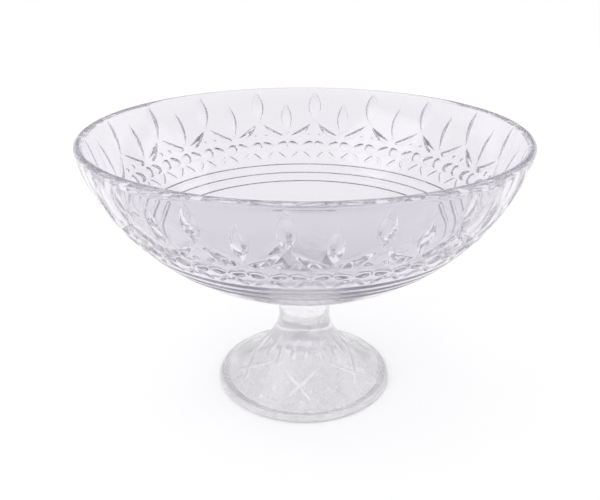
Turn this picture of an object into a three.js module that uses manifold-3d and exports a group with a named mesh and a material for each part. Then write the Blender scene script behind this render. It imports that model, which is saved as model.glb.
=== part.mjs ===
// Footed fruit bowl in clear pressed glass: a wide bowl with a cut pattern outside, stuck by a thin
// clear bond to a hollow pedestal foot. Millimetres, +Z up, origin on the table at the foot's centre.
// Angles run round the axis from the front (-Y), and a distance along a wall is an arc length.
import * as THREE from "three";
import { mergeVertices } from "three/addons/utils/BufferGeometryUtils.js";
import Module from "manifold-3d";

const wasm = await Module();
wasm.setup();

// Bowl: its outside is one smooth curve from the lip to a flat pad underneath
const rimRadius = 140.2;
const bowlDepth = 100;
const rimWall = 5.2;
const floorWall = 9;
const rimLean = 7.3;
const rimDrop = 43;
const undersideReach = 83;

// Joint: the bowl's pad, the bond and the stem's top share one radius
const jointRadius = 25;
const bondThickness = 0.2;
const bondInset = 0.8;

// Foot: a stem with a narrow neck that flares to a round base, hollow underneath
const footHeight = 79.6;
const baseRadius = 61.2;
const baseEdgeHeight = 4;
const baseEdgeInset = 2.8;
const baseEdgeRound = 1.4;
const standWidth = 8;
const neckRadius = 17.6;
const neckHeight = 51;
const flareRise = 17;
const neckRise = 10;
const stemTopRise = 7;
const stemTopLean = 5.5;
const shoulderRadius = 30.4;
const shoulderHeight = 20.3;
const footShell = 7.7;
const hollowHeight = 35;
const hollowBreadth = 17.6;

// Cut pattern on the bowl: depths are below the wall's surface, places are arc lengths from the lip
const repeats = 18;
const bowlTurn = -3.5;
const tallCut = { start: 0.6, length: 24.3, width: 10.4, depth: 2.4 };
const shortCut = { start: 9.8, length: 25.4, width: 8.8, depth: 2.2 };
const chevronCut = { start: 26.9, drop: 10.3, sag: 3.3, width: 5.7, depth: 2.0, fromAxis: 1.2, toAxis: 8.8 };
const ringCut = { first: 63.7, pitch: 7.75, width: 4.4, depth: 0.9, count: 3 };

// Cut pattern on the foot: flutes round the shoulder and crossing grooves on the base
const footTurn = 4.5;
const flute = { count: 18, belowNeck: 15, length: 19, width: 4.6, depth: 0.9 };
const groove = { count: 6, fromEdge: 8.5, length: 27, start: 20.8, spread: 36.5, width: 2.8, depth: 0.8 };

// How finely round shapes are divided
const bowlSides = 72;
const footSides = 54;
const outsideSteps = 16;
const insideSteps = 9;
const lipSteps = 5;
const flareSteps = 8;
const neckSteps = 4;
const edgeSteps = 3;
const uprightSteps = 6;
const chevronSteps = 5;
const fluteSteps = 4;
const grooveSteps = 6;
const cutReach = 1.15;
const cutLift = 1.0;
const pathNudge = 0.01;

const point = (radius, height) => new THREE.Vector2(radius, height);
const radians = THREE.MathUtils.degToRad;

// Share of a cut's path that is run, from 0 at its start to 1 at its end, for t from -1 to 1
const pathShare = (t) => (t + 1) / 2;

const glass = (colour) => new THREE.MeshStandardMaterial({
  color: colour, roughness: 0.05, metalness: 0, transparent: true, opacity: 0.4,
});

// A turned solid about +Z from a profile of (radius, height) that runs up the outside
function turned(profile, sides) {
  const lathe = new THREE.LatheGeometry(profile, sides);
  lathe.rotateX(Math.PI / 2);
  return closedGeometry(lathe);
}

// Shared vertices are merged and the flat slivers at the poles are dropped
function closedGeometry(geometry) {
  geometry.deleteAttribute("normal");
  geometry.deleteAttribute("uv");
  const merged = mergeVertices(geometry);
  const index = merged.index.array;
  const kept = [];
  for (let i = 0; i < index.length; i += 3) {
    const [a, b, c] = [index[i], index[i + 1], index[i + 2]];
    if (a !== b && b !== c && c !== a) kept.push(a, b, c);
  }
  merged.setIndex(kept);
  return merged;
}

function solidOf(geometry) {
  return new wasm.Manifold(new wasm.Mesh({
    numProp: 3,
    vertProperties: new Float32Array(geometry.attributes.position.array),
    triVerts: new Uint32Array(geometry.index.array),
  }));
}

function geometryOf(solid) {
  const mesh = solid.getMesh();
  const geometry = new THREE.BufferGeometry();
  geometry.setAttribute("position", new THREE.BufferAttribute(mesh.vertProperties, 3));
  geometry.setIndex(new THREE.BufferAttribute(mesh.triVerts, 1));
  return geometry;
}

// A turned wall as a surface: arc length along its curve and angle round the axis give a point and its
// outward normal. The curve runs with the outside on its left hand, and goes on straight past its ends.
function wallSurface(curve) {
  const length = curve.getLength();
  const at = (arc) => {
    const along = THREE.MathUtils.clamp(arc / length, 0, 1);
    const way = curve.getTangentAt(along);
    const place = curve.getPointAt(along).addScaledVector(way, arc - along * length);
    return { place, normal: point(-way.y, way.x) };
  };
  const turn = (flat, angle) => new THREE.Vector3(
    flat.x * Math.sin(radians(angle)), -flat.x * Math.cos(radians(angle)), flat.y,
  );
  const spot = (arc, angle) => {
    const { place, normal } = at(arc);
    return { place: turn(place, angle), normal: turn(normal, angle) };
  };
  return { length, at, spot };
}

// The tool for one mitre cut: a V-shaped keel that follows a path over the surface, deepest halfway and
// rising out of the glass at both ends, so that the cut has a leaf outline and a crease. The path gives an
// arc length and an angle for t from -1 at its start to 1 at its end, and goes on a little past both.
function mitreTool(surface, path, width, depth, steps) {
  const slope = width / 2 / depth;
  const onPath = (t) => {
    const { arc, angle } = path(t);
    return surface.spot(arc, angle);
  };
  const corners = [];
  for (let i = 0; i <= steps; i += 1) {
    const t = THREE.MathUtils.lerp(-cutReach, cutReach, i / steps);
    const { place, normal } = onPath(t);
    const ahead = onPath(t + pathNudge).place.sub(onPath(t - pathNudge).place).normalize();
    const across = new THREE.Vector3().crossVectors(normal, ahead).normalize();
    const sunk = depth * (1 - t * t);
    const half = slope * (sunk + cutLift);
    const top = place.clone().addScaledVector(normal, cutLift);
    corners.push(
      place.clone().addScaledVector(normal, -sunk),
      top.clone().addScaledVector(across, half),
      top.clone().addScaledVector(across, -half),
    );
  }
  const faces = [0, 2, 1];
  for (let i = 0; i < steps; i += 1) {
    for (let side = 0; side < 3; side += 1) {
      const [a, b] = [3 * i + side, 3 * i + (side + 1) % 3];
      faces.push(a, b, a + 3, b, b + 3, a + 3);
    }
  }
  const last = 3 * steps;
  faces.push(last, last + 1, last + 2);
  const geometry = new THREE.BufferGeometry().setFromPoints(corners);
  geometry.setIndex(faces);
  return solidOf(geometry);
}

// Heights up the object
const padHeight = footHeight + bondThickness;
const rimHeight = padHeight + bowlDepth;

// Outside of the bowl from the lip down to its pad
const leanLength = Math.hypot(rimLean, rimDrop);
const lipRadius = rimWall / 2;
const lipStart = rimHeight - lipRadius * (1 + rimLean / leanLength);
const bowlCurve = new THREE.CubicBezierCurve(
  point(rimRadius, lipStart),
  point(rimRadius - rimLean, lipStart - rimDrop),
  point(undersideReach, padHeight),
  point(jointRadius, padHeight),
);
const bowlWall = wallSurface(bowlCurve);
const wallAt = (arc) => THREE.MathUtils.lerp(rimWall, floorWall, arc / bowlWall.length);
const raised = (arc, distance) => {
  const { place, normal } = bowlWall.at(arc);
  return place.clone().addScaledVector(normal, distance);
};

function bowlProfile() {
  const outside = [];
  const ringsStart = ringCut.first - ringCut.width;
  const ringsEnd = ringCut.first + ringCut.pitch * (ringCut.count - 1) + ringCut.width;
  for (let i = 0; i <= outsideSteps; i += 1) {
    const arc = bowlWall.length * i / outsideSteps;
    if (arc < ringsStart || arc > ringsEnd) outside.push(raised(arc, 0));
  }
  for (let ring = 0; ring < ringCut.count; ring += 1) {
    const middle = ringCut.first + ringCut.pitch * ring;
    outside.push(raised(middle - ringCut.width / 2, 0));
    outside.push(raised(middle, -ringCut.depth));
    outside.push(raised(middle + ringCut.width / 2, 0));
  }
  outside.sort((a, b) => a.x - b.x);
  const lip = [];
  const { place, normal } = bowlWall.at(0);
  const centre = place.clone().addScaledVector(normal, -lipRadius);
  const firstAngle = normal.angle();
  for (let i = 1; i < lipSteps; i += 1) {
    const angle = firstAngle + Math.PI * i / lipSteps;
    lip.push(point(centre.x + lipRadius * Math.cos(angle), centre.y + lipRadius * Math.sin(angle)));
  }
  const inside = [];
  for (let i = 0; i <= insideSteps; i += 1) {
    const arc = bowlWall.length * i / insideSteps;
    inside.push(raised(arc, -wallAt(arc)));
  }
  return [
    point(0, padHeight), ...outside, ...lip, ...inside, point(0, padHeight + floorWall),
  ];
}

// One repeat of the pattern stands on a tall cut, with a short cut halfway to the next
function bowlTools() {
  const pitch = 360 / repeats;
  const tools = [];
  const upright = (spec, angle) => {
    const path = (t) => ({ arc: spec.start + spec.length * pathShare(t), angle });
    tools.push(mitreTool(bowlWall, path, spec.width, spec.depth, uprightSteps));
  };
  for (let i = 0; i < repeats; i += 1) {
    const axis = i * pitch;
    upright(tallCut, axis);
    upright(shortCut, axis + pitch / 2);
    for (const side of [-1, 1]) {
      const path = (t) => ({
        arc: chevronCut.start + chevronCut.drop * pathShare(t) + chevronCut.sag * (1 - t * t),
        angle: axis + side * THREE.MathUtils.lerp(chevronCut.fromAxis, chevronCut.toAxis, pathShare(t)),
      });
      tools.push(mitreTool(bowlWall, path, chevronCut.width, chevronCut.depth, chevronSteps));
    }
  }
  return tools;
}

function bowlGeometry() {
  let solid = solidOf(turned(bowlProfile(), bowlSides));
  for (const tool of bowlTools()) solid = solid.subtract(tool);
  return geometryOf(solid);
}

// Outside of the foot from its base edge up the flare to the neck
const flareCurve = new THREE.CubicBezierCurve(
  point(neckRadius, neckHeight),
  point(neckRadius, neckHeight - flareRise),
  point(shoulderRadius, shoulderHeight),
  point(baseRadius - baseEdgeInset, baseEdgeHeight),
);
const footWall = wallSurface(flareCurve);
const neckCurve = new THREE.CubicBezierCurve(
  point(neckRadius, neckHeight),
  point(neckRadius, neckHeight + neckRise),
  point(jointRadius - stemTopLean, footHeight - stemTopRise),
  point(jointRadius, footHeight),
);
const standRadius = baseRadius - baseEdgeRound - standWidth;
const hollowCurve = new THREE.CubicBezierCurve(
  point(0, hollowHeight),
  point(hollowBreadth, hollowHeight),
  point(shoulderRadius, shoulderHeight - footShell),
  point(standRadius, 0),
);

// The base edge is a bead: a small round underneath and a longer one up to the flare
function footProfile() {
  const under = new THREE.EllipseCurve(
    baseRadius - baseEdgeRound, baseEdgeRound, baseEdgeRound, baseEdgeRound, -Math.PI / 2, 0,
  );
  const bead = new THREE.EllipseCurve(
    baseRadius - baseEdgeInset, baseEdgeRound,
    baseEdgeInset, baseEdgeHeight - baseEdgeRound, 0, Math.PI / 2,
  );
  return [
    ...hollowCurve.getPoints(flareSteps),
    ...under.getPoints(edgeSteps),
    ...bead.getPoints(edgeSteps).slice(1),
    ...flareCurve.getPoints(flareSteps).reverse().slice(1),
    ...neckCurve.getPoints(neckSteps).slice(1),
    point(0, footHeight),
  ];
}

function footTools() {
  const tools = [];
  for (let i = 0; i < flute.count; i += 1) {
    const angle = 360 * i / flute.count;
    const path = (t) => ({ arc: flute.belowNeck + flute.length * pathShare(t), angle });
    tools.push(mitreTool(footWall, path, flute.width, flute.depth, fluteSteps));
  }
  const grooveStart = footWall.length - groove.fromEdge - groove.length;
  for (let i = 0; i < groove.count; i += 1) {
    const axis = 360 * i / groove.count + groove.start;
    for (const side of [-1, 1]) {
      const path = (t) => {
        const arc = grooveStart + groove.length * pathShare(t);
        const aside = side * groove.spread * pathShare(t);
        return { arc, angle: axis + THREE.MathUtils.radToDeg(aside / footWall.at(arc).place.x) };
      };
      tools.push(mitreTool(footWall, path, groove.width, groove.depth, grooveSteps));
    }
  }
  return tools;
}

function footGeometry() {
  let solid = solidOf(turned(footProfile(), footSides));
  for (const tool of footTools()) solid = solid.subtract(tool);
  return geometryOf(solid);
}

function bondGeometry() {
  const radius = jointRadius - bondInset;
  return turned([
    point(0, footHeight), point(radius, footHeight), point(radius, padHeight), point(0, padHeight),
  ], footSides);
}

const footedBowl = new THREE.Group();
footedBowl.name = "footed_fruit_bowl";

function addPiece(name, geometry, material, turn) {
  const mesh = new THREE.Mesh(geometry, material);
  mesh.name = name;
  mesh.rotation.z = radians(turn);
  footedBowl.add(mesh);
}

addPiece("bowl", bowlGeometry(), glass(0xe4e1ea), bowlTurn);
addPiece("pedestal_foot", footGeometry(), glass(0xe8e6ec), footTurn);
addPiece("bond_disc", bondGeometry(), glass(0xf2f1f4), footTurn);

export default footedBowl;
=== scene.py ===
# %% [markdown]
# # A footed fruit bowl in clear pressed glass
#
# The real object is two pressings of clear glass: a wide bowl with a pattern cut into its outside, and a
# hollow pedestal foot. A thin clear bond holds them together. This lesson makes the fine surfaces of the
# three pieces around a plain solid model, which fixes every size and place. Distances are in metres.
#
# The first step loads that model. Its box is kept, because the finished surfaces have to stay inside it.

# %% Load the frame
import math

import bpy
import numpy as np
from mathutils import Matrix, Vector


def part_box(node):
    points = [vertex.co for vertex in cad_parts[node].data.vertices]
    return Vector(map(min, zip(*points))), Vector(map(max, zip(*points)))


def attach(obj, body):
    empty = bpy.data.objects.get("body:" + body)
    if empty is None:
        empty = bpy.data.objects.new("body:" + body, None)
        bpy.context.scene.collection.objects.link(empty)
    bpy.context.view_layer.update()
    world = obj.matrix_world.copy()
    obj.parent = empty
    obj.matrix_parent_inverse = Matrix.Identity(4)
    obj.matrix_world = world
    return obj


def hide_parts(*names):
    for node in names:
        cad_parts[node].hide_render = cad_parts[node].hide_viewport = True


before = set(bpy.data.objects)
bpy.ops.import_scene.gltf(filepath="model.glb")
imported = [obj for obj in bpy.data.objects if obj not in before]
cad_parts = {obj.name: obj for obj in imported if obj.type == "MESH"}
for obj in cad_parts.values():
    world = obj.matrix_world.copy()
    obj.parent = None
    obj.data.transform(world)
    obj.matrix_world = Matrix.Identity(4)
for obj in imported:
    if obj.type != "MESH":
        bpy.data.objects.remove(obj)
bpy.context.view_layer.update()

MM = 0.001

# %% [markdown]
# ## Camera
#
# The camera comes first, because every later choice is judged through it. It stands in front of the bowl,
# a little above the rim, and looks down by about 23 degrees. The numbers come from matching the ellipse of
# the rim and the round base: a nearer camera makes the front of the rim too large, a farther one too flat.

# %% Place the camera
rim_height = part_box("bowl")[1].z
camera_distance = 0.4341
camera_above_rim = 0.1055
camera_tilt_down = 23.54
camera_turn = 0.385
camera_data = bpy.data.cameras.new("front_camera")
camera_data.lens = 42
camera_data.sensor_width = 36
camera = bpy.data.objects.new("front_camera", camera_data)
camera.location = (0, -camera_distance, rim_height + camera_above_rim)
camera.rotation_euler = (math.radians(90 - camera_tilt_down), 0, math.radians(camera_turn))
bpy.context.scene.collection.objects.link(camera)
bpy.context.scene.camera = camera
print("camera at", [round(value, 4) for value in camera.location])

# %% [markdown]
# ## Curves for turned walls
#
# Both glass pieces are turned shapes: one curve in radius and height, carried round the axis. A cubic Bezier
# curve describes a smooth wall with four corner points. A pattern has to be placed along the wall by true
# length, so the curve is measured once and then read by arc length. The outward normal is kept with it,
# because cuts go into the wall along that normal and the wall's thickness is laid off along it too.

# %% A wall that is read by arc length
wall_points = 4001


def bezier_wall(start, start_pull, end_pull, end):
    """A cubic Bezier curve in (radius, height) as a dense table of arc length, place and outward normal.

    The weights of the four corners are (1-t)^3, 3t(1-t)^2, 3t^2(1-t) and t^3. The normal is the direction of
    the curve turned left by a right angle, so the outside lies on the left of the way along the curve.
    """
    t = np.linspace(0, 1, wall_points)[:, None]
    corners = [np.array(corner) for corner in (start, start_pull, end_pull, end)]
    weights = [(1 - t) ** 3, 3 * t * (1 - t) ** 2, 3 * t ** 2 * (1 - t), t ** 3]
    line = sum(weight * corner for weight, corner in zip(weights, corners))
    steps = np.hypot(*np.diff(line, axis=0).T)
    arc = np.concatenate(([0], np.cumsum(steps)))
    way = np.gradient(line, arc, axis=0)
    way /= np.linalg.norm(way, axis=1)[:, None]
    return {"arc": arc, "line": line, "normal": np.stack((-way[:, 1], way[:, 0]), axis=1), "length": arc[-1]}


def on_wall(wall, arcs):
    """Radius and height of the wall and of its unit normal at each arc length, for arrays of any shape."""
    columns = [wall["line"][:, 0], wall["line"][:, 1], wall["normal"][:, 0], wall["normal"][:, 1]]
    return [np.interp(arcs, wall["arc"], column) for column in columns]


def off_wall(wall, arcs, distance):
    """Radius and height of points that lie a distance outside the wall, along its normal."""
    radius, height, normal_radius, normal_height = on_wall(wall, arcs)
    return radius + normal_radius * distance, height + normal_height * distance


def length_per_degree(wall, arcs):
    """Distance round the axis for one degree, at each arc length down the wall: the radius in radians."""
    return np.radians(on_wall(wall, arcs)[0])


print("each wall is measured at", wall_points, "points")

# %% [markdown]
# ## A closed surface from a grid
#
# A turned surface is a grid: rows run along the wall and columns run round the axis. The grid closes on
# itself round the axis, and one point on the axis closes each end. Every four-sided cell is split into two
# triangles, and either diagonal could be used. Where a crease of the pattern runs across a cell, the
# diagonal that follows the crease gives a clean facet, so the depth in the middle of the cell decides.


# %% Turn a grid of rows and columns into a mesh
def turned_triangles(rows, columns, flip):
    """Triangles of a closed grid with a pole at each end; flip marks the cells that use the other diagonal.

    Point number = row * columns + column, then the first pole and the last pole.
    """
    row, column = np.meshgrid(np.arange(rows - 1), np.arange(columns), indexing="ij")
    beside = (column + 1) % columns
    a = row * columns + column
    b = row * columns + beside
    c = (row + 1) * columns + beside
    d = (row + 1) * columns + column
    straight = np.stack((np.stack((a, b, c), -1), np.stack((a, c, d), -1)), 2)
    other = np.stack((np.stack((a, b, d), -1), np.stack((b, c, d), -1)), 2)
    cells = np.where(flip[:, :, None, None], other, straight).reshape(-1, 3)
    ring = np.arange(columns)
    after = (ring + 1) % columns
    last = (rows - 1) * columns
    first_pole = np.full(columns, rows * columns)
    first_fan = np.stack((first_pole, after, ring), -1)
    last_fan = np.stack((last + ring, last + after, first_pole + 1), -1)
    return np.concatenate((cells, first_fan, last_fan))


def turned_object(name, radius, height, angle, flip, pole_heights):
    """A mesh object from arrays of radius, height and angle, all rows by columns.

    The angle runs from the front, so a point is (radius * sin, -radius * cos, height).
    """
    rows, columns = radius.shape
    grid = np.stack((radius * np.sin(angle), -radius * np.cos(angle), height), -1).reshape(-1, 3)
    poles = np.array([[0, 0, pole_heights[0]], [0, 0, pole_heights[1]]])
    points = np.concatenate((grid, poles))
    triangles = turned_triangles(rows, columns, flip)
    mesh = bpy.data.meshes.new(name)
    mesh.vertices.add(len(points))
    mesh.vertices.foreach_set("co", points.ravel())
    mesh.loops.add(triangles.size)
    mesh.loops.foreach_set("vertex_index", triangles.ravel())
    mesh.polygons.add(len(triangles))
    mesh.polygons.foreach_set("loop_start", np.arange(0, triangles.size, 3))
    mesh.update(calc_edges=True)
    mesh.validate()
    piece = bpy.data.objects.new(name, mesh)
    bpy.context.scene.collection.objects.link(piece)
    print(name, "has", len(triangles), "triangles")
    return piece


def shade_creased(piece, crease):
    """Smooth shading, with an edge left sharp where its two faces turn by more than crease degrees."""
    piece.data.shade_smooth()
    piece.data.set_sharp_from_angle(angle=math.radians(crease))


# %% [markdown]
# ## The bowl's wall
#
# The outside is one curve from just under the lip to the flat pad that sits on the stem. The lip is a half
# circle, as fire-polished glass has it, and the wall grows thicker from the lip to the floor. The solid
# model gives the rim's reach and the heights, so the fine surface starts from those.

# %% Sizes and curve of the bowl
bowl_low, bowl_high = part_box("bowl")
bond_low, bond_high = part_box("bond_disc")
pad_height = bowl_low.z
rim_wall = 5.2 * MM
floor_wall = 9 * MM
rim_lean = 7.3 * MM
rim_drop = 43 * MM
underside_reach = 83 * MM
joint_radius = 25 * MM
lip_radius = rim_wall / 2
lean_angle = math.atan2(rim_lean, rim_drop)
rim_reach = min(bowl_high.x, bowl_high.y, -bowl_low.x, -bowl_low.y)
rim_radius = rim_reach - lip_radius * (1 - math.cos(lean_angle))
lip_start = bowl_high.z - lip_radius * (1 + math.sin(lean_angle))
bowl_wall = bezier_wall(
    (rim_radius, lip_start),
    (rim_radius - rim_lean, lip_start - rim_drop),
    (underside_reach, pad_height),
    (joint_radius, pad_height),
)
print("the bowl's outside is", round(bowl_wall["length"] / MM, 1), "mm long from lip to pad")

# %% [markdown]
# ## The cut pattern
#
# The pattern repeats 18 times. Each repeat is a mirror image about its tall cut, so a place needs only two
# numbers: the angle from the tall cut's axis, from 0 to 10 degrees, and the arc length from the lip.
#
# Every motif is a depth below the wall's surface, and the deepest motif wins. An upright cut has a leaf
# outline, a crease down its middle and a steep border. Clear glass shows such a cut mostly by that border,
# which bends the view far aside and so draws a thin line. Tall and short cuts alternate under the lip, and a
# pair of slanted cuts hangs below each tall one. Then come small thumb cuts, a band of hollow ovals, a band
# of slanted leaves and three rings. A fine groove marks where the lip ends.

# %% Upright cuts and the slanted pair
repeats = 18
pitch = 360 / repeats
half_pitch = pitch / 2
bowl_turn = -3.5
tall_cut = {"start": 0.6 * MM, "length": 24.3 * MM, "width": 10.4 * MM, "depth": 2.4 * MM}
short_cut = {"start": 9.8 * MM, "length": 25.4 * MM, "width": 8.8 * MM, "depth": 2.2 * MM}
slant_cut = {"inner": 1.2, "outer": 8.8, "start": 26.9 * MM, "drop": 10.3 * MM,
             "breadth": 6.6 * MM, "bulge": 0.6, "crease": 0.42, "depth": 2.7 * MM}
crease_share = 0.5
border_power = 6
tiny = 0.001 * MM


def leaf_half_width(cut, arcs):
    """Half the width of an upright cut: half the full width times 1 - t^2, where t runs from -1 to 1."""
    t = (arcs - cut["start"]) / (cut["length"] / 2) - 1
    return cut["width"] / 2 * (1 - t ** 2)


def upright_depth(cut, aside, arcs):
    """A cut with a leaf outline, a crease along its middle and a steep border.

    With a from 0 at the crease to 1 at the outline, one share of the depth falls as 1 - a, which makes the
    crease, and the rest as 1 - a^border_power, which makes a flat floor and the border.
    """
    half_width = np.maximum(leaf_half_width(cut, arcs), tiny)
    a = np.clip(aside / half_width, 0, 1)
    middle_depth = cut["depth"] * half_width / (cut["width"] / 2)
    return middle_depth * (crease_share * (1 - a) + (1 - crease_share) * (1 - a ** border_power))


def slant_edges(angle):
    """Upper edge, crease and lower edge of a slanted cut as arc lengths, and how full the cut is, 0 to 1.

    The upper edge is straight. The lower one bulges as (4u(1-u))^bulge, where u runs from 0 to 1 along it.
    """
    along = (angle - slant_cut["inner"]) / (slant_cut["outer"] - slant_cut["inner"])
    u = np.clip(along, 0, 1)
    fullness = (4 * u * (1 - u)) ** slant_cut["bulge"]
    upper = slant_cut["start"] + slant_cut["drop"] * along
    lower = upper + slant_cut["breadth"] * fullness
    crease = upper + (lower - upper) * slant_cut["crease"]
    return upper, crease, lower, fullness


def slant_depth(angle, arcs):
    """Two flat facets that meet in the crease: a steep one above it and a broad one below it."""
    upper, crease, lower, fullness = slant_edges(angle)
    rise = (arcs - upper) / (crease - upper + tiny)
    fall = (lower - arcs) / (lower - crease + tiny)
    return slant_cut["depth"] * fullness * np.clip(np.minimum(rise, fall), 0, 1)


print("round the bowl:", repeats, "tall,", repeats, "short and", 2 * repeats, "slanted cuts")

# %% Thumb cuts, hollow ovals, slanted leaves and grooves
thumb_cut = {"angle": 2.0, "arc": 37.4 * MM, "half_length": 2.3 * MM, "half_height": 1.7 * MM,
             "depth": 0.9 * MM}
oval_cut = {"arc": 45.6 * MM, "sink": 1.6 * MM, "middle": 3.7 * MM, "inward": 3.9 * MM, "overlap": 0.2 * MM,
            "half_height": 4.4 * MM, "point_power": 1.5, "depth": 1.9 * MM}
leaf_cut = {"upper_angle": 4.3, "lower_angle": 1.1, "start": 50.7 * MM, "drop": 8.6 * MM,
            "width": 3.5 * MM, "depth": 1.1 * MM}
lip_line = {"arc": 0 * MM, "width": 0.9 * MM, "depth": 0.2 * MM}
ring_cut = {"first": 63.7 * MM, "pitch": 7.75 * MM, "width": 4.2 * MM, "depth": 1.2 * MM, "count": 3}


def thumb_depth(angle, arcs):
    """A shallow dish with an oval outline: depth times 1 - x^2 - y^2 in units of its half lengths."""
    x = (angle - thumb_cut["angle"]) * length_per_degree(bowl_wall, arcs) / thumb_cut["half_length"]
    y = (arcs - thumb_cut["arc"]) / thumb_cut["half_height"]
    return thumb_cut["depth"] * np.clip(1 - x ** 2 - y ** 2, 0, None)


def oval_depth(angle, arcs):
    """A row of hollow ovals, round towards the upright cuts' axes and pointed halfway between them.

    x is the distance from the oval's middle as a share of its reach on that side, and y the distance from its
    sinking centre line as a share of its half height. The depth is 1 - x^2 - y^2 on the round side, and
    1 - x^point_power - y^2 on the pointed one. Two ovals just overlap on an axis, which leaves a ridge there.
    """
    unit = length_per_degree(bowl_wall, arcs)
    across = np.minimum(angle, half_pitch - angle)
    outward = across * unit - oval_cut["middle"]
    reach = half_pitch / 2 * unit - oval_cut["middle"] + oval_cut["overlap"]
    round_side = 1 - (outward / oval_cut["inward"]) ** 2
    pointed_side = 1 - (np.clip(outward, 0, None) / reach) ** oval_cut["point_power"]
    centre_line = oval_cut["arc"] + oval_cut["sink"] * across / (half_pitch / 2)
    y = (arcs - centre_line) / oval_cut["half_height"]
    return oval_cut["depth"] * np.clip(np.where(outward < 0, round_side, pointed_side) - y ** 2, 0, None)


def leaf_depth(angle, arcs):
    """Slanted hollow leaves in mirrored pairs: upper ends meet between the axes, lower ends on the axes."""
    across = np.minimum(angle, half_pitch - angle)
    unit = length_per_degree(bowl_wall, arcs)
    t = 2 * (arcs - leaf_cut["start"]) / leaf_cut["drop"] - 1
    sweep = leaf_cut["lower_angle"] - leaf_cut["upper_angle"]
    middle = leaf_cut["upper_angle"] + sweep * (t + 1) / 2
    lean = np.cos(np.arctan(sweep * unit / leaf_cut["drop"]))
    aside = np.abs(across - middle) * unit * lean
    half_width = leaf_cut["width"] / 2
    return leaf_cut["depth"] * np.clip(1 - t ** 2 - (aside / half_width) ** 2, 0, None)


def lip_line_depth(arcs):
    """A fine rounded groove right round the bowl, where the lip meets the wall."""
    aside = np.abs(arcs - lip_line["arc"]) / (lip_line["width"] / 2)
    return lip_line["depth"] * (1 + np.cos(np.pi * np.clip(aside, 0, 1))) / 2


def ring_depth(arcs):
    """Rounded grooves right round the bowl: half a cosine wave across each."""
    ring = np.clip(np.round((arcs - ring_cut["first"]) / ring_cut["pitch"]), 0, ring_cut["count"] - 1)
    aside = np.abs(arcs - ring_cut["first"] - ring * ring_cut["pitch"]) / (ring_cut["width"] / 2)
    return ring_cut["depth"] * (1 + np.cos(np.pi * np.clip(aside, 0, 1))) / 2


def bowl_depth(angle, arcs):
    """Depth of the whole pattern: the deepest motif at each place."""
    unit = length_per_degree(bowl_wall, arcs)
    motifs = [
        upright_depth(tall_cut, angle * unit, arcs),
        upright_depth(short_cut, (half_pitch - angle) * unit, arcs),
        slant_depth(angle, arcs),
        thumb_depth(angle, arcs),
        oval_depth(angle, arcs),
        leaf_depth(angle, arcs),
        lip_line_depth(arcs),
        ring_depth(arcs),
    ]
    return np.maximum.reduce(motifs)


cuts = [tall_cut, short_cut, slant_cut, thumb_cut, oval_cut, leaf_cut, lip_line, ring_cut]
deepest = max(cut["depth"] for cut in cuts)
print("the deepest motif goes", round(deepest / MM, 1), "mm into the wall")

# %% [markdown]
# ## A grid that follows the pattern
#
# A plain grid would cross the outlines of the cuts and leave saw-tooth edges. Here the columns crowd together
# at the crease and the outline of each upright cut, and spread out evenly again past its tips. The rows slope
# so that they lie on the edges and the crease of the slanted cuts, and crowd where the thumb cuts are.

# %% Columns of one repeat
columns_per_half = 20
cut_columns = 7
cut_share = np.array([0, 0.08, 0.45, 1, 1, 1, 1, 1])
cut_offset = np.array([0, 0, 0, -0.9, -0.4, 0, 0.5, 1.1]) * MM
least_width = 0.5 * MM
full_width = 2.5 * MM
spread_length = 7 * MM
column_number = np.arange(-columns_per_half, columns_per_half + 1)


def cut_angles(cut, arcs, number):
    """Angle of a cut's columns from its axis: crowded at its outline, and evening out past its tips."""
    half_width = np.maximum(leaf_half_width(cut, arcs), least_width)
    crowd = np.minimum(half_width / full_width, 1)
    place = half_width * cut_share[number] + crowd * cut_offset[number]
    beyond = np.maximum(cut["start"] - arcs, arcs - cut["start"] - cut["length"])
    even = half_pitch * number / columns_per_half
    spread = np.clip(beyond / spread_length, 0, 1)
    return (1 - spread) * np.degrees(place / on_wall(bowl_wall, arcs)[0]) + spread * even


def column_angles(arcs):
    """Angle of each column from its tall cut's axis, always positive, for arcs of shape rows by columns.

    The columns between two cuts blend from the last column of the tall cut to the last one of the short cut.
    """
    number = np.abs(column_number)
    tall = cut_angles(tall_cut, arcs, np.minimum(number, cut_columns))
    short = half_pitch - cut_angles(short_cut, arcs, np.minimum(columns_per_half - number, cut_columns))
    between = np.clip((number - cut_columns) / (columns_per_half - 2 * cut_columns), 0, 1)
    return tall + (short - tall) * between


print("each repeat has", 2 * columns_per_half, "columns")

# %% Rows of one repeat
even_angle = np.abs(column_number) * half_pitch / columns_per_half
lip_line_end = lip_line["arc"] + lip_line["width"] / 2
oval_top = 41.2 * MM
oval_end = 51.2 * MM
leaf_end = 60.2 * MM
rings_end = 82 * MM
sliver = 0.1 * MM
edge_round = 0.5 * MM


def band(above, below, rows):
    """Rows between two boundaries, without the lower one: a straight blend from above to below."""
    share = np.arange(rows)[:, None] / rows
    return (1 - share) * above + share * below


upper, crease, lower = slant_edges(even_angle)[:3]
above = upper - edge_round
crease = np.maximum(crease, upper + sliver)
lower = np.maximum(lower, crease + sliver)
thumb_top = np.maximum(thumb_cut["arc"] - thumb_cut["half_height"], lower + sliver)
thumb_end = np.maximum(thumb_cut["arc"] + thumb_cut["half_height"], thumb_top + sliver)
level = np.ones_like(even_angle)
boundaries = [
    0 * level, lip_line_end * level, above, upper, crease, lower, thumb_top, thumb_end,
    oval_top * level, oval_end * level, leaf_end * level, rings_end * level, bowl_wall["length"] * level,
]
rows_between = [2, 15, 2, 4, 5, 3, 6, 3, 20, 18, 24, 5]
bands = [band(*limits) for limits in zip(boundaries, boundaries[1:], rows_between)]
outside_arcs = np.concatenate(bands + [boundaries[-1][None, :]])[::-1]
print("the pattern's grid has", len(outside_arcs), "rows down the outside")

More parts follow.
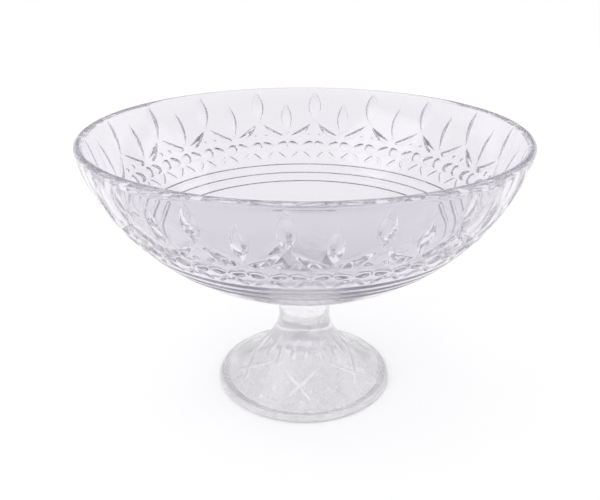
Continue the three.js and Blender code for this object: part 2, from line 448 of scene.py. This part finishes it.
# %% [markdown]
# ## The bowl as one closed surface
#
# The rows run from the middle of the pad, up the patterned outside, over the lip and down the plain inside.
# Only the outside is cut. Over the lip and inside, each column stays in one plane through the axis, because
# a column that wandered there would make the lip look wavy.

# %% Outside, lip, inside and pad of one repeat
outside_angle = column_angles(outside_arcs)
outside_depth = bowl_depth(outside_angle, outside_arcs)
outside_radius, outside_height = off_wall(bowl_wall, outside_arcs, -outside_depth)

lip_rows = 14
lip_angle = np.linspace(-lean_angle, math.pi - lean_angle, lip_rows + 2)[1:, None] * level
lip_centre = off_wall(bowl_wall, np.zeros(1), -lip_radius)
lip_path = -lip_radius * (lip_angle + lean_angle)
lip_grid = (lip_centre[0] + lip_radius * np.cos(lip_angle), lip_centre[1] + lip_radius * np.sin(lip_angle))

inside_rows = 13
inside_arcs = bowl_wall["length"] * np.linspace(0, 1, inside_rows + 1)[1:, None] * level
inside_wall = rim_wall + (floor_wall - rim_wall) * inside_arcs / bowl_wall["length"]
inside_grid = off_wall(bowl_wall, inside_arcs, -inside_wall)
inside_path = lip_path[-1:] - inside_arcs

bond_radius = (bond_high.x - bond_low.x) / 2
pad_grid = (bond_radius * level[None, :], pad_height * level[None, :])
pad_path = (bowl_wall["length"] + joint_radius - bond_radius) * level[None, :]

repeat_radius = np.concatenate((pad_grid[0], outside_radius, lip_grid[0], inside_grid[0]))
repeat_height = np.concatenate((pad_grid[1], outside_height, lip_grid[1], inside_grid[1]))
repeat_path = np.concatenate((pad_path, outside_arcs, lip_path, inside_path))
repeat_angle = column_angles(np.maximum(repeat_path, 0)) * np.sign(column_number)
print("one repeat has", len(repeat_path), "rows from the pad to the middle of the floor")


# %% Choose the diagonals
def cell_flips(angle, arcs, depth_at):
    """True where the cell's other diagonal lies nearer to the depth in the middle of the cell."""
    corners = [(slice(None, -1), slice(None, -1)), (slice(None, -1), slice(1, None)),
               (slice(1, None), slice(1, None)), (slice(1, None), slice(None, -1))]
    depth = depth_at(angle, arcs)
    a, b, c, d = (depth[corner] for corner in corners)
    middle_angle = sum(angle[corner] for corner in corners) / 4
    middle_arc = sum(arcs[corner] for corner in corners) / 4
    middle = depth_at(middle_angle, middle_arc)
    return np.abs((b + d) / 2 - middle) < np.abs((a + c) / 2 - middle)


def bowl_depth_signed(angle, arcs):
    """The pattern's depth on the outside, and none over the lip and inside, where the path is negative."""
    on_outside = (arcs >= 0) & (arcs <= bowl_wall["length"])
    return np.where(on_outside, bowl_depth(np.abs(angle), arcs), 0)


repeat_flip = cell_flips(repeat_angle, repeat_path, bowl_depth_signed)
print(int(repeat_flip.sum()), "cells of a repeat use the other diagonal")

# %% Make the bowl
bowl_crease = 75
axis_angle = np.repeat(np.arange(repeats) * pitch, 2 * columns_per_half)[None, :]
bowl = turned_object(
    "glass_bowl",
    np.tile(repeat_radius[:, :-1], repeats),
    np.tile(repeat_height[:, :-1], repeats),
    np.radians(np.tile(repeat_angle[:, :-1], repeats) + axis_angle + bowl_turn),
    np.tile(repeat_flip, repeats),
    (pad_height, pad_height + floor_wall),
)
shade_creased(bowl, bowl_crease)
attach(bowl, "root")
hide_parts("bowl")

# %% [markdown]
# ## The pedestal foot
#
# The foot is pressed in one piece: a flat top that carries the bowl, a narrow neck, a shoulder that flares
# out to the base, a rounded bead round the edge, a flat ring to stand on and a hollow underneath. Short
# flutes run down the shoulder, and shallow grooves cross on the base. It is turned like the bowl.

# %% Sizes and curves of the foot
foot_low, foot_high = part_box("pedestal_foot")
foot_top = foot_high.z
base_radius = min(foot_high.x, foot_high.y, -foot_low.x, -foot_low.y)
base_edge_height = 4 * MM
base_edge_inset = 2.8 * MM
base_edge_round = 1.4 * MM
stand_width = 8 * MM
neck_radius = 17.6 * MM
neck_height = 51 * MM
shoulder_radius = 30.4 * MM
shoulder_height = 20.3 * MM
foot_shell = 7.7 * MM
hollow_height = 35 * MM
hollow_breadth = 17.6 * MM
flare_rise = 17 * MM
stem_top_lean = 5.5 * MM
stem_top_rise = 7 * MM
neck_rise = 10 * MM
stand_radius = base_radius - base_edge_round - stand_width
flare_wall = bezier_wall(
    (neck_radius, neck_height),
    (neck_radius, neck_height - flare_rise),
    (shoulder_radius, shoulder_height),
    (base_radius - base_edge_inset, base_edge_height),
)
neck_wall = bezier_wall(
    (joint_radius, foot_top),
    (joint_radius - stem_top_lean, foot_top - stem_top_rise),
    (neck_radius, neck_height + neck_rise),
    (neck_radius, neck_height),
)
hollow_wall = bezier_wall(
    (0, hollow_height),
    (hollow_breadth, hollow_height),
    (shoulder_radius, shoulder_height - foot_shell),
    (stand_radius, 0),
)
print("the flare is", round(flare_wall["length"] / MM, 1), "mm long from neck to base edge")

# %% Flutes and crossing grooves on the foot
foot_turn = 4.5
flute = {"count": 18, "start": 15 * MM, "length": 19 * MM, "width": 4.6 * MM, "depth": 0.9 * MM}
groove = {"count": 6, "from_edge": 8.5 * MM, "length": 27 * MM, "start": 20.8, "spread": 36.5 * MM,
          "width": 2.8 * MM, "depth": 0.8 * MM}


def nearest_offset(angle, spacing):
    """Signed angle from the nearest multiple of a spacing."""
    return (angle + spacing / 2) % spacing - spacing / 2


def groove_depth(angle, arcs, side):
    """V grooves that start at shared points on the shoulder and run straight, aslant, towards the base edge.

    Their distance sideways grows evenly with the distance down the wall, so their angle is spread / radius.
    """
    unit = length_per_degree(flare_wall, arcs)
    first = flare_wall["length"] - groove["from_edge"] - groove["length"]
    t = 2 * (arcs - first) / groove["length"] - 1
    middle = groove["start"] + side * groove["spread"] * (t + 1) / 2 / unit
    lean = np.cos(np.arctan(groove["spread"] / groove["length"]))
    aside = np.abs(nearest_offset(angle - middle, 360 / groove["count"])) * unit * lean
    return groove["depth"] * np.clip(1 - t ** 2 - aside / (groove["width"] / 2), 0, None)


def flute_depth(angle, arcs):
    """Upright cuts down the shoulder, evenly spaced round the foot."""
    unit = length_per_degree(flare_wall, arcs)
    aside = np.abs(nearest_offset(angle, 360 / flute["count"])) * unit
    return upright_depth(flute, aside, arcs)


def flare_depth(angle, arcs):
    """Depth of the foot's pattern: the flutes, and the grooves of both hands."""
    motifs = [flute_depth(angle, arcs), groove_depth(angle, arcs, -1), groove_depth(angle, arcs, 1)]
    return np.maximum.reduce(motifs)


print("the foot has", flute["count"], "flutes and", 2 * groove["count"], "crossing grooves")

# %% Rows of the foot
foot_columns = 540
flare_rows = 64
hollow_rows = 18
bead_rows_below = 6
bead_rows_above = 8
neck_rows = 18
foot_angle = np.arange(foot_columns + 1)[None, :] * 360 / foot_columns


def wall_rows(wall, rows, backwards=False):
    """Evenly spaced points along a wall, without its last one, as one column of radius and one of height."""
    arcs = np.linspace(0, wall["length"], rows + 1)[::-1 if backwards else 1][:-1, None]
    return off_wall(wall, arcs, 0)


def arc_rows(centre, half_width, half_height, first, last, rows):
    """Points on an oval arc about a centre between two angles in degrees, without the last one."""
    turn = np.radians(np.linspace(first, last, rows + 1)[:-1, None])
    return centre[0] + half_width * np.cos(turn), centre[1] + half_height * np.sin(turn)


flare_arcs = np.linspace(0, flare_wall["length"], flare_rows + 1)[::-1, None] * np.ones_like(foot_angle)
flare_radius, flare_height = off_wall(flare_wall, flare_arcs, -flare_depth(foot_angle, flare_arcs))
bead_below = (base_radius - base_edge_round, base_edge_round)
bead_above = (base_radius - base_edge_inset, base_edge_round)
bead_rise = base_edge_height - base_edge_round
plain_below = [
    [rows[1:] for rows in wall_rows(hollow_wall, hollow_rows)],
    [np.array([[stand_radius]]), np.zeros((1, 1))],
    arc_rows(bead_below, base_edge_round, base_edge_round, -90, 0, bead_rows_below),
    arc_rows(bead_above, base_edge_inset, bead_rise, 0, 90, bead_rows_above),
]
plain_above = [
    [rows[1:] for rows in wall_rows(neck_wall, neck_rows, backwards=True)],
    [np.array([[joint_radius], [bond_radius]]), np.array([[foot_top], [foot_top]])],
]


def full_rows(pieces, part):
    """The chosen column of each plain stretch, spread over all the foot's columns."""
    return np.concatenate([piece[part] for piece in pieces]) * np.ones_like(foot_angle)


foot_radius = np.concatenate((full_rows(plain_below, 0), flare_radius, full_rows(plain_above, 0)))
foot_height = np.concatenate((full_rows(plain_below, 1), flare_height, full_rows(plain_above, 1)))
rows_below = len(full_rows(plain_below, 0))
rows_edge = len(full_rows(plain_below[:2], 0))
print("the foot has", len(foot_radius), "rows from the hollow's middle to its top")

# %% Make the foot
foot_crease = 15
foot_flip = np.zeros((len(foot_radius) - 1, foot_columns), bool)
flare_cells = slice(rows_below, rows_below + flare_rows)
foot_flip[flare_cells] = cell_flips(foot_angle + 0 * flare_arcs, flare_arcs, flare_depth)
foot = turned_object(
    "glass_pedestal_foot",
    foot_radius[:, :-1],
    foot_height[:, :-1],
    np.radians(foot_angle[:, :-1] + foot_turn) * np.ones((len(foot_radius), 1)),
    foot_flip,
    (hollow_height, foot_top),
)
shade_creased(foot, foot_crease)
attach(foot, "root")
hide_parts("pedestal_foot")

# %% [markdown]
# ## Frost on the foot
#
# The foot isn't as clear as the bowl. Its skin has a haze that clears up the neck, its flutes and grooves are
# frosted, and so is the bead round the edge. All of that follows the surface, so it is kept as a number at
# each point, an attribute, and the glass reads that number later.

# %% Mark the frost
haze = 0.48
haze_full_height = 60 * MM
haze_end_height = 76 * MM
frosted_share = 0.4
flute_frost = 0.85
edge_frost = 1
groove_in = np.maximum(groove_depth(foot_angle, flare_arcs, -1), groove_depth(foot_angle, flare_arcs, 1))
groove_share = np.clip(groove_in / (frosted_share * groove["depth"]), 0, 1)
flute_share = np.clip(flute_depth(foot_angle, flare_arcs) / flute["depth"], 0, 1)
cut_frost = np.maximum(groove_share, flute_frost * flute_share)
clear_rise = (foot_height - haze_full_height) / (haze_end_height - haze_full_height)
frost = haze * (1 - np.clip(clear_rise, 0, 1))
flare_span = slice(rows_below, rows_below + flare_rows + 1)
frost[flare_span] = np.maximum(frost[flare_span], cut_frost)
frost[rows_edge:rows_below] = edge_frost
frost_layer = foot.data.attributes.new("frost", "FLOAT", "POINT")
frost_layer.data.foreach_set("value", np.concatenate((frost[:, :-1].ravel(), np.zeros(2))))
print("frost on the foot:", round(float(frost.min()), 2), "to", round(float(frost.max()), 2))

# %% [markdown]
# ## The bond
#
# The bond is a disc of clear cured resin, thinner than a sheet of card. Its edge draws in a little, as a
# liquid does between two plates before it sets. It fills the gap that the solid model leaves for it, less a
# hair on each face, because two surfaces in exactly one place would catch every ray between them.

# %% Make the bond
bond_sides = 144
hair = 0.005 * MM
bond_bottom = bond_low.z + hair
bond_top = bond_high.z - hair
meniscus = 0.15 * MM
bond_crease = 40
edge_rows = 9
edge_share = np.linspace(-1, 1, edge_rows)[:, None]
bond_columns = np.arange(bond_sides)[None, :]
bond_shape = np.ones((edge_rows, bond_sides))
bond = turned_object(
    "clear_bond_disc",
    (bond_radius - meniscus * (1 - edge_share ** 2)) * bond_shape,
    (bond_bottom + (bond_top - bond_bottom) * (edge_share + 1) / 2) * bond_shape,
    np.radians(bond_columns * 360 / bond_sides) * bond_shape,
    np.zeros((edge_rows - 1, bond_sides), bool),
    (bond_bottom, bond_top),
)
shade_creased(bond, bond_crease)
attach(bond, "root")
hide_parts("bond_disc")

# %% [markdown]
# ## Short node trees
#
# A material is a tree of nodes, and most of its lines would only make a node and link it. Three helpers make
# the nodes that come up again and again, and each returns the output that the next node reads.


# %% Node helpers
def feed(tree, socket, source):
    """Link a node's input to another node's output, or set it to a plain number or colour."""
    if isinstance(source, (int, float, tuple)):
        socket.default_value = source
    else:
        tree.links.new(source, socket)


def maths(tree, operation, first, second):
    """The output of a Math node on two outputs or numbers."""
    node = tree.nodes.new("ShaderNodeMath")
    node.operation = operation
    feed(tree, node.inputs[0], first)
    feed(tree, node.inputs[1], second)
    return node.outputs["Value"]


def remap(tree, value, given, wanted):
    """A value carried in a straight line from the range given to the range wanted, and held at both ends."""
    node = tree.nodes.new("ShaderNodeMapRange")
    node.inputs["From Min"].default_value = given[0]
    node.inputs["From Max"].default_value = given[1]
    node.inputs["To Min"].default_value = wanted[0]
    node.inputs["To Max"].default_value = wanted[1]
    tree.links.new(value, node.inputs["Value"])
    return node.outputs["Result"]


# %% [markdown]
# ## Clear glass
#
# Glass is a shader that lets light through and bends it. Pressed glass isn't quite flat: the mould leaves a
# faint waviness. Noise on the Object coordinates drives a very weak bump for it. The bowl is fire-polished,
# so it is clear all over. Thick glass has a pale lavender tint, and the base colour carries it. The base
# colour is also much greyer than clear glass is. That grey is painted shade, standing in for a darker room
# round the glass.
#
# The foot is less polished. It has a cloudy haze, which lets a little less light straight through, and its
# flutes, grooves and base edge are frosted, which the frost attribute marks. Use has scuffed the ring that
# it stands on, so the roughness rises there.


# %% Make the glass
def glass_nodes(name, tint, ior):
    """A Principled shader set up as clear glass; returns the material, its node tree and the shader."""
    material = bpy.data.materials.new(name)
    material.use_nodes = True
    tree = material.node_tree
    shader = tree.nodes["Principled BSDF"]
    shader.inputs["Base Color"].default_value = (*tint, 1)
    shader.inputs["Roughness"].default_value = 0
    shader.inputs["IOR"].default_value = ior
    shader.inputs["Transmission Weight"].default_value = 1
    return material, tree, shader


def add_waviness(tree, shader, waviness):
    """Smooth noise as the height of a weak bump: the uneven skin of pressed glass."""
    place = tree.nodes.new("ShaderNodeTexCoord")
    noise = tree.nodes.new("ShaderNodeTexNoise")
    noise.inputs["Scale"].default_value = waviness["scale"]
    noise.inputs["Detail"].default_value = 1
    bump = tree.nodes.new("ShaderNodeBump")
    bump.inputs["Strength"].default_value = waviness["strength"]
    bump.inputs["Distance"].default_value = waviness["height"]
    tree.links.new(place.outputs["Object"], noise.inputs["Vector"])
    tree.links.new(noise.outputs["Fac"], bump.inputs["Height"])
    tree.links.new(bump.outputs["Normal"], shader.inputs["Normal"])
    return place


def add_standing_wear(tree, shader, place, wear):
    """Roughness that falls from scuffed to clear over the lowest part of the piece, broken up by noise."""
    axes = tree.nodes.new("ShaderNodeSeparateXYZ")
    tree.links.new(place.outputs["Object"], axes.inputs["Vector"])
    scuffs = tree.nodes.new("ShaderNodeTexNoise")
    scuffs.inputs["Scale"].default_value = wear["scale"]
    tree.links.new(place.outputs["Object"], scuffs.inputs["Vector"])
    fade = remap(tree, axes.outputs["Z"], (0, wear["height"]), (wear["scuffed"], wear["clear"]))
    worn = maths(tree, "MULTIPLY", fade, scuffs.outputs["Fac"])
    tree.links.new(worn, shader.inputs["Roughness"])


def add_frost(tree, shader, place, frost_look):
    """Less light passes straight through where the frost attribute is higher, down to a least share at 1.

    Smooth noise makes the frost a little cloudy.
    """
    clouds = tree.nodes.new("ShaderNodeTexNoise")
    clouds.inputs["Scale"].default_value = frost_look["scale"]
    tree.links.new(place.outputs["Object"], clouds.inputs["Vector"])
    cloudy = remap(tree, clouds.outputs["Fac"], frost_look["noise"], frost_look["gain"])
    frost_value = tree.nodes.new("ShaderNodeAttribute")
    frost_value.attribute_name = "frost"
    share = maths(tree, "MULTIPLY", frost_value.outputs["Fac"], cloudy)
    passing = remap(tree, share, (0, 1), (1, frost_look["least"]))
    tree.links.new(passing, shader.inputs["Transmission Weight"])


# Both tints hold the glass's own pale lavender and a painted shade. They are greyer than clear glass, the
# bowl's far more than the foot's, in place of a darker room round the glass.
glass_tint_with_painted_shade = (0.838, 0.822, 0.86)
foot_tint_with_painted_shade = (0.964, 0.957, 0.969)
glass_ior = 1.5
mould_waviness = {"scale": 60, "strength": 0.15, "height": 0.3 * MM}
standing_wear = {"height": 0.6 * MM, "clear": 0.2, "scuffed": 0.6, "scale": 900}
foot_frost = {"scale": 160, "noise": (0.35, 0.65), "gain": (1.15, 0.85), "least": 0.5}
bowl_glass, bowl_tree, bowl_shader = glass_nodes("clear_bowl_glass", glass_tint_with_painted_shade, glass_ior)
add_waviness(bowl_tree, bowl_shader, mould_waviness)
foot_glass, foot_tree, foot_shader = glass_nodes("clear_foot_glass", foot_tint_with_painted_shade, glass_ior)
foot_place = add_waviness(foot_tree, foot_shader, mould_waviness)
add_standing_wear(foot_tree, foot_shader, foot_place, standing_wear)
add_frost(foot_tree, foot_shader, foot_place, foot_frost)
print("glass:", bowl_glass.name, foot_glass.name)

# %% [markdown]
# ## Bonded faces
#
# Where resin wets the glass there is no air between them, so light goes straight on and nothing shines. The
# faces under the bowl and on the stem's top that the bond covers get a second material with a refractive
# index of 1 against what lies beyond them. The bond's own flat faces get it too, and only its edge is seen.
#
# Under the bowl the resin hasn't taken everywhere: fine streaks of air mirror the room there. So only one
# face in three of the bowl's pad is wetted, evenly round the axis, and the stem all but vanishes above it.

# %% Wet the bonded faces
wetted_ior = 1.0
resin_tint = (0.99, 0.99, 0.98)
resin_ior = 1.48
resin_waviness = {"scale": 300, "strength": 0.2, "height": 0.1 * MM}
covered_share = 0.9
wet_face = glass_nodes("wetted_glass_face", (1, 1, 1), wetted_ior)[0]
resin, resin_tree, resin_shader = glass_nodes("clear_cured_resin", resin_tint, resin_ior)
add_waviness(resin_tree, resin_shader, resin_waviness)


def paint(piece, own, covered_height, wet_one_in=1):
    """The piece's own material, with the wetted one on flat faces at the given heights inside the bond.

    Where the resin has taken only in part, one covered face in a few is wetted.
    """
    piece.data.materials.append(own)
    piece.data.materials.append(wet_face)
    count = len(piece.data.polygons)
    centres = np.empty(3 * count)
    piece.data.polygons.foreach_get("center", centres)
    centres = centres.reshape(-1, 3)
    near = np.min(np.abs(centres[:, 2:] - np.array(covered_height)), axis=1) < tiny
    covered = near & (np.hypot(centres[:, 0], centres[:, 1]) < bond_radius * covered_share)
    wetted = np.flatnonzero(covered)[::wet_one_in]
    slots = np.zeros(count, np.int32)
    slots[wetted] = 1
    piece.data.polygons.foreach_set("material_index", slots)
    print(piece.name, "has", len(wetted), "wetted faces")


paint(bowl, bowl_glass, [pad_height], wet_one_in=3)
paint(foot, foot_glass, [foot_top])
paint(bond, resin, [bond_bottom, bond_top])

# %% [markdown]
# ## Seeing and lighting
#
# Glass has little colour of its own: it shows what is round it. The background is white, and the glass has
# to show that too, so a ray from the camera and a ray that glass has bent or mirrored meet the same colours.
# Only rays that gather light for a dull surface are kept apart, with the Light Path node: they meet plain
# white, so that the light stays even.


# %% Ramps of grey, and the choice by kind of ray
def shade_ramp(tree, value, shades, cast):
    """A ramp of greys, read by a value; shades are pairs of value and grey.

    Each channel is the grey to a power of its own, so that white stays white and darker greys take a cast.
    """
    node = tree.nodes.new("ShaderNodeValToRGB")
    first = shades[0][0]
    last = shades[-1][0]
    stops = node.color_ramp.elements
    stops.remove(stops[1])
    for place, grey in shades[1:]:
        stops.new((place - first) / (last - first))
    for stop, (place, grey) in zip(stops, shades):
        stop.position = (place - first) / (last - first)
        stop.color = (*(grey ** power for power in cast), 1)
    tree.links.new(remap(tree, value, (first, last), (0, 1)), node.inputs["Fac"])
    return node.outputs["Color"]


def seen_colour(tree, lighting, seen):
    """One colour for rays that light dull surfaces, and one for rays that see, straight or through glass."""
    rays = tree.nodes.new("ShaderNodeLightPath")
    by_glass = maths(tree, "MAXIMUM", rays.outputs["Is Glossy Ray"], rays.outputs["Is Transmission Ray"])
    sees = maths(tree, "MAXIMUM", rays.outputs["Is Camera Ray"], by_glass)
    clear_way = maths(tree, "LESS_THAN", rays.outputs["Diffuse Depth"], 1)
    colour = tree.nodes.new("ShaderNodeMix")
    colour.data_type = "RGBA"
    tree.links.new(maths(tree, "MULTIPLY", sees, clear_way), colour.inputs["Factor"])
    feed(tree, colour.inputs["A"], lighting)
    feed(tree, colour.inputs["B"], seen)
    return colour.outputs["Result"]


# %% [markdown]
# ## Floor
#
# The floor is white and takes the bowl's shadow. Close to the foot its colour is a touch greyer: painted
# shade round the bowl, on top of the real shadow. The camera and the glass see the same floor.

# %% Make the floor
floor_half = 6.0
floor_drop = 0.3 * MM
floor_mesh = bpy.data.meshes.new("pale_floor")
floor_corners = [(-floor_half, -floor_half, -floor_drop), (floor_half, -floor_half, -floor_drop),
                 (floor_half, floor_half, -floor_drop), (-floor_half, floor_half, -floor_drop)]
floor_mesh.from_pydata(floor_corners, [], [(0, 1, 2, 3)])
floor = bpy.data.objects.new("pale_floor", floor_mesh)
bpy.context.scene.collection.objects.link(floor)
floor_paint = bpy.data.materials.new("pale_floor_paint")
floor_paint.use_nodes = True
floor_mesh.materials.append(floor_paint)
print("floor:", 2 * floor_half, "m wide")

# %% Paint the floor
floor_tree = floor_paint.node_tree
floor_place = floor_tree.nodes.new("ShaderNodeTexCoord").outputs["Object"]
floor_length = floor_tree.nodes.new("ShaderNodeVectorMath")
floor_length.operation = "LENGTH"
floor_tree.links.new(floor_place, floor_length.inputs[0])
# Painted shade: the floor's colour greys towards the bowl's axis, from 0.92 under the foot to white half a
# metre out.
floor_painted_shade = [(0, 0.92), (0.52, 1)]
neutral = (1, 1, 1)
floor_colour = shade_ramp(floor_tree, floor_length.outputs["Value"], floor_painted_shade, neutral)
floor_shader = floor_tree.nodes["Principled BSDF"]
floor_shader.inputs["Roughness"].default_value = 0.9
floor_shader.inputs["Specular IOR Level"].default_value = 0
floor_tree.links.new(floor_colour, floor_shader.inputs["Base Color"])
print("the floor is painted with", floor_paint.name)

# %% [markdown]
# ## World
#
# The world is white at the horizon, where a camera can see it, and turns to a violet grey higher up, lifting
# a little overhead, where a ceiling is. It is the same all round, so the bowl reads alike from every side.
# Facets that bend or mirror the view upwards pick it up, and that is what draws their outlines.

# %% Make the world
world = bpy.data.worlds.new("studio")
bpy.context.scene.world = world
world.use_nodes = True
sky = world.node_tree
violet = (1, 1.045, 0.89)
sky_bands = [(0, 1), (0.14, 0.95), (0.24, 0.28), (0.35, 0.19), (0.74, 0.17), (0.86, 0.25), (1, 0.3)]
sky_axes = sky.nodes.new("ShaderNodeSeparateXYZ")
sky.links.new(sky.nodes.new("ShaderNodeTexCoord").outputs["Generated"], sky_axes.inputs["Vector"])
sky_shades = shade_ramp(sky, sky_axes.outputs["Z"], sky_bands, violet)
white = (1, 1, 1, 1)
background = sky.nodes["Background"]
background.inputs["Strength"].default_value = 1.0
sky.links.new(seen_colour(sky, white, sky_shades), background.inputs["Color"])
print("the world has", len(sky_bands), "bands")

# %% [markdown]
# ## Lamps
#
# Two large, weak lamps give the shadow on the floor a direction and the glass a few soft glints. The camera
# doesn't see them.


# %% Make the lamps
def soft_lamp(name, place, size, power):
    """A large square lamp that faces the middle of the bowl."""
    lamp = bpy.data.lights.new(name, "AREA")
    lamp.shape = "SQUARE"
    lamp.size = size
    lamp.energy = power
    holder = bpy.data.objects.new(name, lamp)
    target = np.array([0, 0, rim_height / 2])
    away = np.array(place) - target
    length = np.linalg.norm(away)
    pitch_angle = math.acos(away[2] / length)
    holder.location = place
    holder.rotation_euler = (pitch_angle, 0, math.atan2(away[1], away[0]) + math.pi / 2)
    holder.visible_camera = False
    bpy.context.scene.collection.objects.link(holder)


soft_lamp("key_softbox", place=(-0.9, -0.4, 1.2), size=1.0, power=3)
soft_lamp("fill_softbox", place=(1.1, 0.5, 1.0), size=0.8, power=1.5)

# %% [markdown]
# ## Light paths and colour
#
# A ray crosses many faces inside the glass, so it may bounce often before it is given up. The Standard view
# shows a colour as it is written.

# %% Let light travel inside the glass
light_paths = bpy.context.scene.cycles
bounces = 48
light_paths.max_bounces = bounces
light_paths.glossy_bounces = bounces
light_paths.transmission_bounces = bounces
light_paths.blur_glossy = 0
print("bounces inside the glass:", bounces)

# %% Finish
bpy.context.scene.view_settings.view_transform = "Standard"
